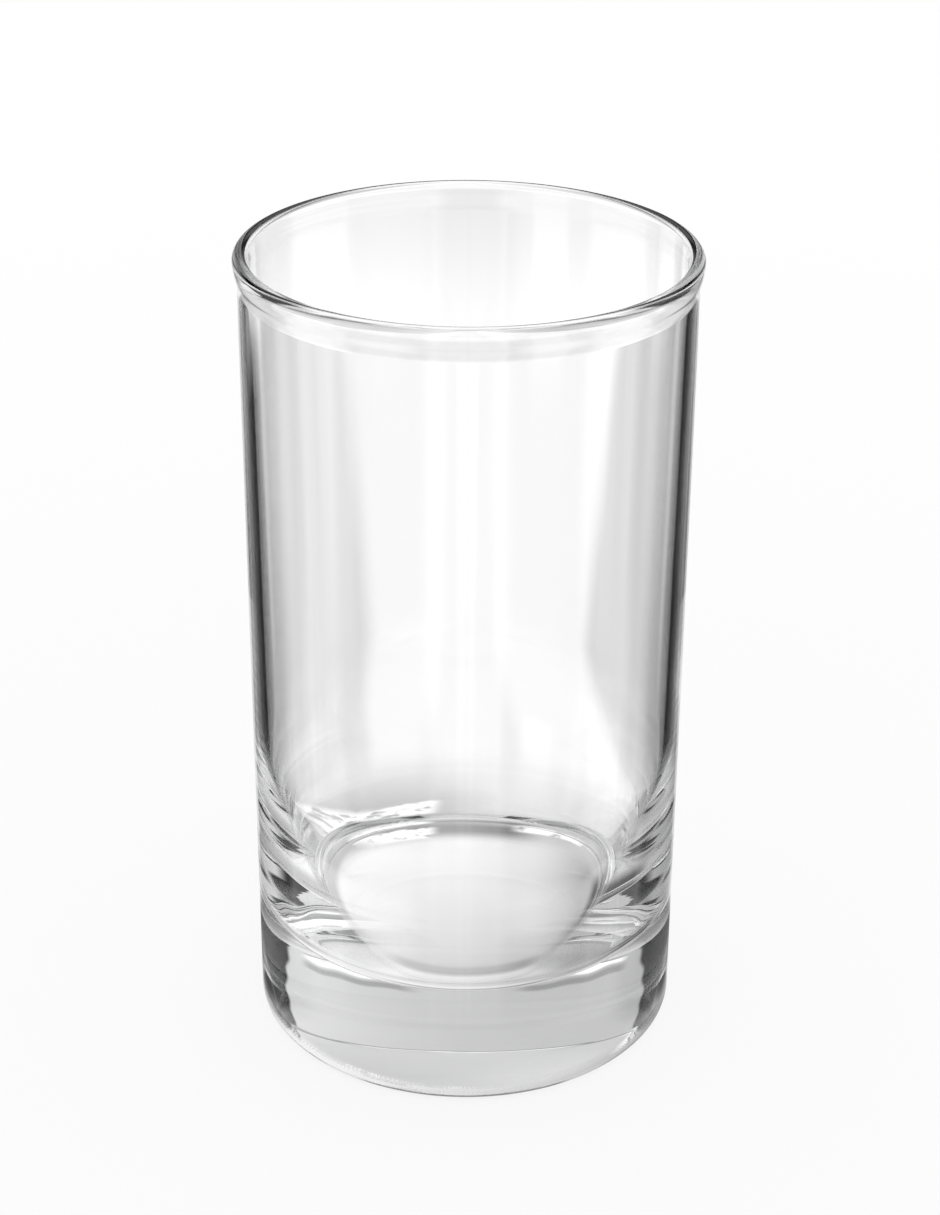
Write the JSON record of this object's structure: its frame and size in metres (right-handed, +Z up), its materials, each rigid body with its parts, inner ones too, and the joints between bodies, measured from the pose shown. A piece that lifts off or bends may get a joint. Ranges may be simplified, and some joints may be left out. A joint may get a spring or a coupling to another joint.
{
  "type": "juice glass",
  "caption": "Small straight-sided clear tumbler with a thick solid base, a rounded lip and a hollow inside for a drink.",
  "frame": {"origin": "middle of the flat ring that the glass stands on, at table level", "axes": "+Z up along the axis of the glass, out of its mouth; the glass is round, so +X and +Y are free"},
  "size_m": [0.054, 0.054, 0.1],
  "materials": {
    "clear_glass": "clear, colourless, polished"
  },
  "bodies": {
    "root": {"tumbler": "clear_glass"}
  },
  "joints": []
}
